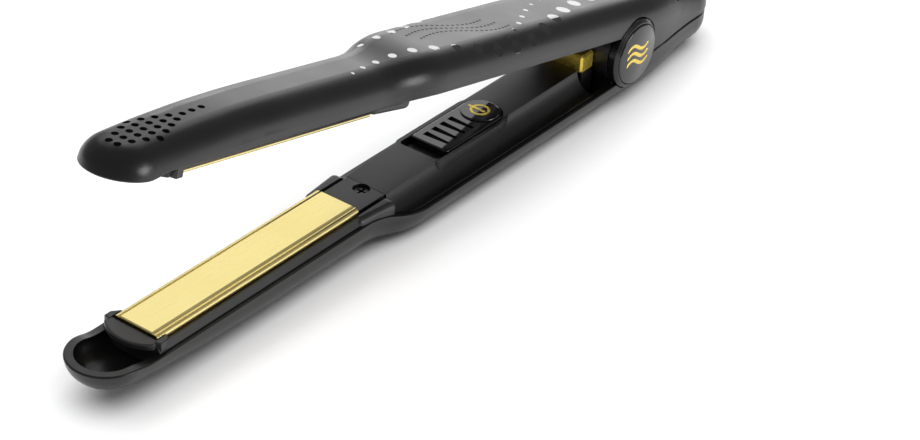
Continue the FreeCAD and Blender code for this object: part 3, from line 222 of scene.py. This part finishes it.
def domed_cap():
    """Polished black like the other gloss, shaded as a shallow dome around the hinge axis."""
    made = polished("gloss_cap", (0.0015, 0.0015, 0.0015), 0.05, specular=0.8, coat=0.0)
    tree = made.node_tree
    place = tree.nodes.new("ShaderNodeTexCoord")
    flat = tree.nodes.new("ShaderNodeVectorMath")
    flat.operation = "MULTIPLY"
    flat.inputs[1].default_value = (1.0, 0.0, 1.0)
    tree.links.new(place.outputs["Object"], flat.inputs[0])
    away = tree.nodes.new("ShaderNodeVectorMath")
    away.operation = "DISTANCE"
    away.inputs[1].default_value = (HINGE.x, 0.0, HINGE.z)
    tree.links.new(flat.outputs["Vector"], away.inputs[0])
    square = tree.nodes.new("ShaderNodeMath")
    square.operation = "POWER"
    square.inputs[1].default_value = 2.0
    tree.links.new(away.outputs["Value"], square.inputs[0])
    sunk = tree.nodes.new("ShaderNodeMath")
    sunk.operation = "MULTIPLY"
    sunk.inputs[1].default_value = -DOME
    tree.links.new(square.outputs["Value"], sunk.inputs[0])
    bump(made, sunk.outputs["Value"], 1.0)
    return made


def coated_plate():
    """Satin gold coating on ground aluminium: fine lines run along the plate."""
    made = new_material("gold_coating", (0.92, 0.77, 0.32), 0.30, metallic=1.0)
    tree = made.node_tree
    lines = texture_space(tree, (18.0, 900.0, 900.0))
    broad = texture_space(tree)
    bump(made, noise(tree, lines, 9.0, 4.0), 0.002 * MM, strength=0.4)
    vary_roughness(made, lines, 3.0, low=0.23, high=0.28)
    vary_colour(made, broad, 45.0, dark=(0.90, 0.75, 0.30), light=(0.94, 0.79, 0.34))
    return made


def metal(name, colour, roughness, stretch=(1, 1, 1), depth_mm=0.01, metallic=1.0):
    """Metal with a fine grain, which stretch can draw out into lines."""
    made = new_material(name, colour, roughness, metallic=metallic)
    tree = made.node_tree
    space = texture_space(tree, stretch)
    bump(made, noise(tree, space, METAL_GRAIN), depth_mm * MM)
    vary_roughness(made, space, METAL_DRIFT, roughness * 0.8, roughness * 1.3)
    return made


MATERIALS = {
    "shell": moulded(
        "shell_plastic", dark=(0.0024, 0.0024, 0.0024), light=(0.0042, 0.0040, 0.0040),
        smooth=0.29, rough=0.35, grain_mm=0.35, depth_mm=0.004),
    "cover": moulded(
        "cover_plastic", dark=(0.0024, 0.0022, 0.0022), light=(0.0042, 0.0038, 0.0038),
        smooth=0.30, rough=0.38, grain_mm=0.30, depth_mm=0.006),
    "carrier": moulded(
        "carrier_plastic", dark=(0.009, 0.0085, 0.0085), light=(0.015, 0.014, 0.014),
        smooth=0.36, rough=0.46, grain_mm=0.25, depth_mm=0.008, specular=0.6),
    "gloss": polished("gloss_black", (0.0015, 0.0015, 0.0015)),
    "cap": domed_cap(),
    "ink": moulded(
        "ink_black", dark=(0.0010, 0.0010, 0.0010), light=(0.0016, 0.0016, 0.0016),
        smooth=0.40, rough=0.50, grain_mm=0.20, depth_mm=0.002, specular=0.08),
    "ring": moulded(
        "ring_plastic", dark=(0.005, 0.005, 0.005), light=(0.009, 0.009, 0.009),
        smooth=0.22, rough=0.30, grain_mm=0.30, depth_mm=0.004),
    "gold_plate": coated_plate(),
    "gold": metal("gold_lacquer", (0.90, 0.66, 0.10), 0.26, depth_mm=0.003, metallic=0.6),
    "screw": metal("black_steel", (0.07, 0.07, 0.075), 0.35),
    "steel": metal("ground_steel", (0.55, 0.55, 0.57), 0.30, stretch=(1, 30, 1)),
    "ceramic": moulded(
        "ceramic", dark=(0.70, 0.68, 0.63), light=(0.80, 0.78, 0.73),
        smooth=0.5, rough=0.7, grain_mm=0.12, depth_mm=0.02),
    "silicone": moulded(
        "silicone", dark=(0.42, 0.10, 0.06), light=(0.50, 0.14, 0.08),
        smooth=0.5, rough=0.65, grain_mm=0.4, depth_mm=0.01),
    "wire": moulded(
        "wire_sleeve", dark=(0.60, 0.57, 0.50), light=(0.74, 0.71, 0.64),
        smooth=0.7, rough=0.85, grain_mm=0.10, depth_mm=0.05),
    "board": moulded(
        "board_mask", dark=(0.02, 0.14, 0.05), light=(0.03, 0.19, 0.07),
        smooth=0.3, rough=0.45, grain_mm=0.5, depth_mm=0.01),
    "lamp": moulded(
        "lamp_lens", dark=(0.55, 0.05, 0.03), light=(0.65, 0.07, 0.04),
        smooth=0.1, rough=0.2, grain_mm=0.5, depth_mm=0.004),
}

DRESS = {
    "shell": ["lower_shell", "upper_shell", "lower_tail_cover", "upper_tail_cover", "swivel_gland"],
    "cover": ["lower_inner_cover", "upper_inner_cover", "accent_plinth"],
    "carrier": ["lower_plate_carrier", "upper_plate_carrier", "lower_knuckles", "upper_knuckle"],
    "gloss": ["power_slider", "slider_disc", "switch_body"],
    "cap": ["hinge_cap_near", "hinge_cap_far"],
    "ring": ["hinge_ring_near", "hinge_ring_far"],
    "gold_plate": ["lower_plate", "upper_plate"],
    "gold": ["accent_block", "slider_mark"],
    "screw": ["lower_cover_screw", "upper_cover_screw"],
    "steel": ["hinge_pin", "hinge_spring"],
    "ceramic": ["lower_heater", "upper_heater", "lower_sensor", "upper_sensor"],
    "silicone": ["lower_float_pads", "upper_float_pads"],
    "wire": ["lower_leads", "upper_leads"],
    "board": ["circuit_board"],
    "lamp": ["power_led"],
}

for finish, members in DRESS.items():
    for member in members:
        slots = nodes[member].data.materials
        slots.clear()
        slots.append(MATERIALS[finish])


# --- pieces made of small patches that lie on the upper shell ---------------------------------------

shell_skin = surface_of("upper_shell")


def skin(x, across):
    """A place on the upper shell's skin and the direction out of it: x from the hinge axis, across
    measured around the skin from its crest."""
    outside = 0.04
    side = math.copysign(1.0, across)
    flat = HANDLE_HALF - EDGE_ROUND
    past = max(abs(across) - flat, 0.0)
    turn = past / EDGE_ROUND
    y = side * min(abs(across), flat)
    inward = direction_on_upper(0, -side * math.sin(turn), -math.cos(turn))
    start = on_upper(x, y, HANDLE_TOP - EDGE_ROUND) - inward * outside
    return shell_skin.ray_cast(start, inward)[0], -inward.normalized()


def patch(mesh, x, across, along_half, across_half, turn=0.0, lift=DOT_LIFT, corners=28):
    """Adds one thin rounded patch, flat on top and sunk into the skin at its edge. Gives back the
    skin's direction at each of its corners."""
    sunk = -0.01 * MM
    normals = []
    rings = []
    for share, rise in ((0.55, lift), (0.9, lift), (1.0, sunk)):
        ring = []
        for number in range(corners):
            angle = 2 * math.pi * number / corners
            u = along_half * share * math.cos(angle)
            v = across_half * share * math.sin(angle)
            du = u * math.cos(turn) - v * math.sin(turn)
            dv = u * math.sin(turn) + v * math.cos(turn)
            place, normal = skin(x + du, across + dv)
            ring.append(mesh.verts.new(place + normal * rise))
            normals.append(normal)
        rings.append(ring)
    place, normal = skin(x, across)
    normals.append(normal)
    middle = mesh.verts.new(place + normal * lift)
    for number in range(corners):
        after = (number + 1) % corners
        mesh.faces.new((middle, rings[0][number], rings[0][after]))
        for inner, outer in zip(rings, rings[1:]):
            mesh.faces.new((inner[number], outer[number], outer[after], inner[after]))
    return normals


def finish_mesh(name, mesh, finish, body, normals=None):
    """Sets the piece on its body; normals, one for each corner, give it the skin's own shading."""
    bmesh.ops.recalc_face_normals(mesh, faces=mesh.faces)
    data = bpy.data.meshes.new(name)
    mesh.to_mesh(data)
    mesh.free()
    data.shade_smooth()
    if normals:
        data.normals_split_custom_set_from_vertices(normals)
    data.materials.append(MATERIALS[finish])
    made = bpy.data.objects.new(name, data)
    bpy.context.scene.collection.objects.link(made)
    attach(made, body)


def spaced(path, gaps):
    """Points along a path, as far apart as gaps(point) says."""
    lengths = [0.0]
    for a, b in zip(path, path[1:]):
        lengths.append(lengths[-1] + math.dist(a[:2], b[:2]))
    made = []
    at = 0.0
    while at <= lengths[-1]:
        index = max(i for i, length in enumerate(lengths) if length <= at)
        if index == len(path) - 1:
            made.append(path[-1])
            break
        t = (at - lengths[index]) / (lengths[index + 1] - lengths[index])
        point = tuple(p + (q - p) * t for p, q in zip(path[index], path[index + 1]))
        made.append(point)
        at += gaps(point)
    return made


def dot_row(mesh, first, last, middle, swing, length, peak, largest):
    """Adds one waving row of dots that swell towards its middle."""
    steps = 120
    path = []
    for step in range(steps + 1):
        share = step / steps
        x = first + (last - first) * share
        across = middle + swing * math.cos(2 * math.pi * (x - peak) / length)
        swell = math.sin(math.pi * share) ** 0.8
        path.append((x, across, largest * (SMALLEST_DOT + (1 - SMALLEST_DOT) * swell)))
    normals = []
    for x, across, radius in spaced(path, lambda point: DOT_GAP + DOT_GAP_GROWTH * point[2]):
        normals += patch(mesh, x * MM, across * MM, radius * MM, radius * MM)
    return normals


def gloss_dots():
    """Winding rows of polished dots along the handle."""
    mesh = bmesh.new()
    normals = []
    for row in DOT_ROWS:
        normals += dot_row(mesh, **row)
    finish_mesh("gloss_dots", mesh, "gloss", "upper_arm", normals)


def strand_motif():
    """A generic mark on the handle: waving strands of small dashes."""
    steps = 40
    mesh = bmesh.new()
    normals = []
    for strand in range(STRANDS):
        line = []
        for step in range(steps + 1):
            share = step / steps
            x = STRAND_START + STRAND_LONG * share + STRAND_SHIFT * strand
            wave = STRAND_SWING * math.sin(2 * math.pi * share)
            across = STRAND_MIDDLE - STRAND_STEP * strand + wave - STRAND_SLANT * (share - 0.5)
            line.append((x, across))
        dashes = spaced(line, lambda point: DASH_GAP)
        for before, after in zip(dashes, dashes[1:]):
            turn = math.atan2(after[1] - before[1], after[0] - before[0])
            normals += patch(mesh, before[0] * MM, before[1] * MM, DASH_HALF[0] * MM,
                             DASH_HALF[1] * MM, turn, DASH_LIFT, corners=12)
    finish_mesh("strand_motif", mesh, "ink", "upper_arm", normals)


gloss_dots()
strand_motif()


# --- hinge cap mark --------------------------------------------------------------------------------

def ribbon(mesh, line, half, base, rise, plane):
    """Adds a flat ribbon with bevelled sides and tapered ends; plane(u, v, height) gives its points."""
    bevel = 0.8
    end_share = 0.08
    rows = []
    for number, (u, v) in enumerate(line):
        before = line[max(number - 1, 0)]
        after = line[min(number + 1, len(line) - 1)]
        angle = math.atan2(after[1] - before[1], after[0] - before[0])
        share = end_share + (1 - 2 * end_share) * number / (len(line) - 1)
        taper = math.sin(math.pi * share) ** 0.5
        du = -math.sin(angle) * half * taper
        dv = math.cos(angle) * half * taper
        rows.append([
            mesh.verts.new(plane(u + du, v + dv, base)),
            mesh.verts.new(plane(u + du * bevel, v + dv * bevel, base + rise)),
            mesh.verts.new(plane(u - du * bevel, v - dv * bevel, base + rise)),
            mesh.verts.new(plane(u - du, v - dv, base)),
        ])
    for a, b in zip(rows, rows[1:]):
        for i in range(3):
            mesh.faces.new((a[i], a[i + 1], b[i + 1], b[i]))
    for row in (rows[0], rows[-1]):
        mesh.faces.new(row)


def cap_mark(side):
    """Three gold waves across a hinge cap."""
    steps = 32
    name = "near" if side < 0 else "far"
    low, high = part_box(f"hinge_cap_{name}")
    face = low.y if side < 0 else high.y
    centre = (low + high) / 2
    mesh = bmesh.new()

    def plane(u, v, height):
        return Vector((centre.x + u, face + side * height, centre.z + v))

    for row in (1, 0, -1):
        line = []
        for step in range(steps + 1):
            share = step / steps
            u = MARK_LONG * (share - 0.5) * MM
            v = (row * MARK_STEP + MARK_SWING * math.sin(2 * math.pi * share)) * MM
            line.append((u, v))
        ribbon(mesh, line, MARK_HALF * MM, -MARK_SUNK * MM, MARK_TALL * MM, plane)
    finish_mesh(f"cap_mark_{name}", mesh, "gold", "lower_arm")


cap_mark(-1)
cap_mark(1)


# --- stage, light and camera -----------------------------------------------------------------------

def stage_floor():
    """A plain pale floor, a hair under the object."""
    under = 0.2 * MM
    bpy.ops.mesh.primitive_plane_add(size=12.0, location=(0, 0, -under))
    floor = bpy.context.object
    floor.name = "floor"
    made = new_material("pale_floor", (0.93, 0.93, 0.935), 0.6, specular=0.05)
    floor.data.materials.append(made)


def softbox(name, azimuth, elevation, distance, size, radiance, lights_floor=False):
    """A soft rectangular lamp that faces the object, placed by its direction from the object.
    One that lights the floor isn't mirrored; the others are there for the sheen they give."""
    middle = Vector((-0.09, 0.0, 0.03))
    azimuth = math.radians(azimuth)
    elevation = math.radians(elevation)
    outward = Vector((math.cos(azimuth) * math.cos(elevation), math.sin(azimuth) * math.cos(elevation),
                      math.sin(elevation)))
    data = bpy.data.lights.new(name, "AREA")
    data.shape = "RECTANGLE"
    data.size, data.size_y = size
    data.energy = radiance * math.pi * size[0] * size[1]
    made = bpy.data.objects.new(name, data)
    made.location = middle + outward * distance
    made.rotation_euler = outward.to_track_quat("Z", "Y").to_euler()
    made.visible_glossy = not lights_floor
    made.visible_diffuse = lights_floor
    bpy.context.scene.collection.objects.link(made)


def sky(strength):
    """An even white light from all around."""
    world = bpy.data.worlds.new("studio")
    world.use_nodes = True
    back = world.node_tree.nodes["Background"]
    back.inputs["Color"].default_value = (1.0, 1.0, 1.0, 1.0)
    back.inputs["Strength"].default_value = strength
    bpy.context.scene.world = world


def photo_camera():
    """A long lens that looks down on the nose from the near side, tilted a little."""
    place = Vector((-0.63966, -0.39774, 0.42886))
    azimuth = math.radians(-55.284)
    elevation = math.radians(32.734)
    roll = math.radians(4.296)
    back = Vector((math.sin(azimuth) * math.cos(elevation), -math.cos(azimuth) * math.cos(elevation),
                   math.sin(elevation)))
    level = Vector((math.cos(azimuth), math.sin(azimuth), 0))
    upright = back.cross(level)
    right = level * math.cos(roll) + upright * math.sin(roll)
    up = upright * math.cos(roll) - level * math.sin(roll)
    data = bpy.data.cameras.new("photo_camera")
    data.sensor_width = 36.0
    data.lens = 108.497
    data.clip_start = 0.05
    data.clip_end = 20.0
    made = bpy.data.objects.new("photo_camera", data)
    turned = Matrix((right, up, back)).transposed().to_4x4()
    made.matrix_world = Matrix.Translation(place) @ turned
    bpy.context.scene.collection.objects.link(made)
    bpy.context.scene.camera = made


stage_floor()
sky(0.25)
softbox("overhead", azimuth=60, elevation=84, distance=2.0, size=(4.5, 4.5), radiance=1.9,
        lights_floor=True)
softbox("back_right", azimuth=30, elevation=8, distance=2.0, size=(1.2, 0.5), radiance=2.6)
softbox("back_card", azimuth=42, elevation=34, distance=2.0, size=(1.5, 0.9), radiance=0.86)
softbox("near_side", azimuth=-76, elevation=16, distance=1.6, size=(0.7, 0.6), radiance=8.0)
photo_camera()
bpy.context.scene.view_settings.view_transform = "Standard"
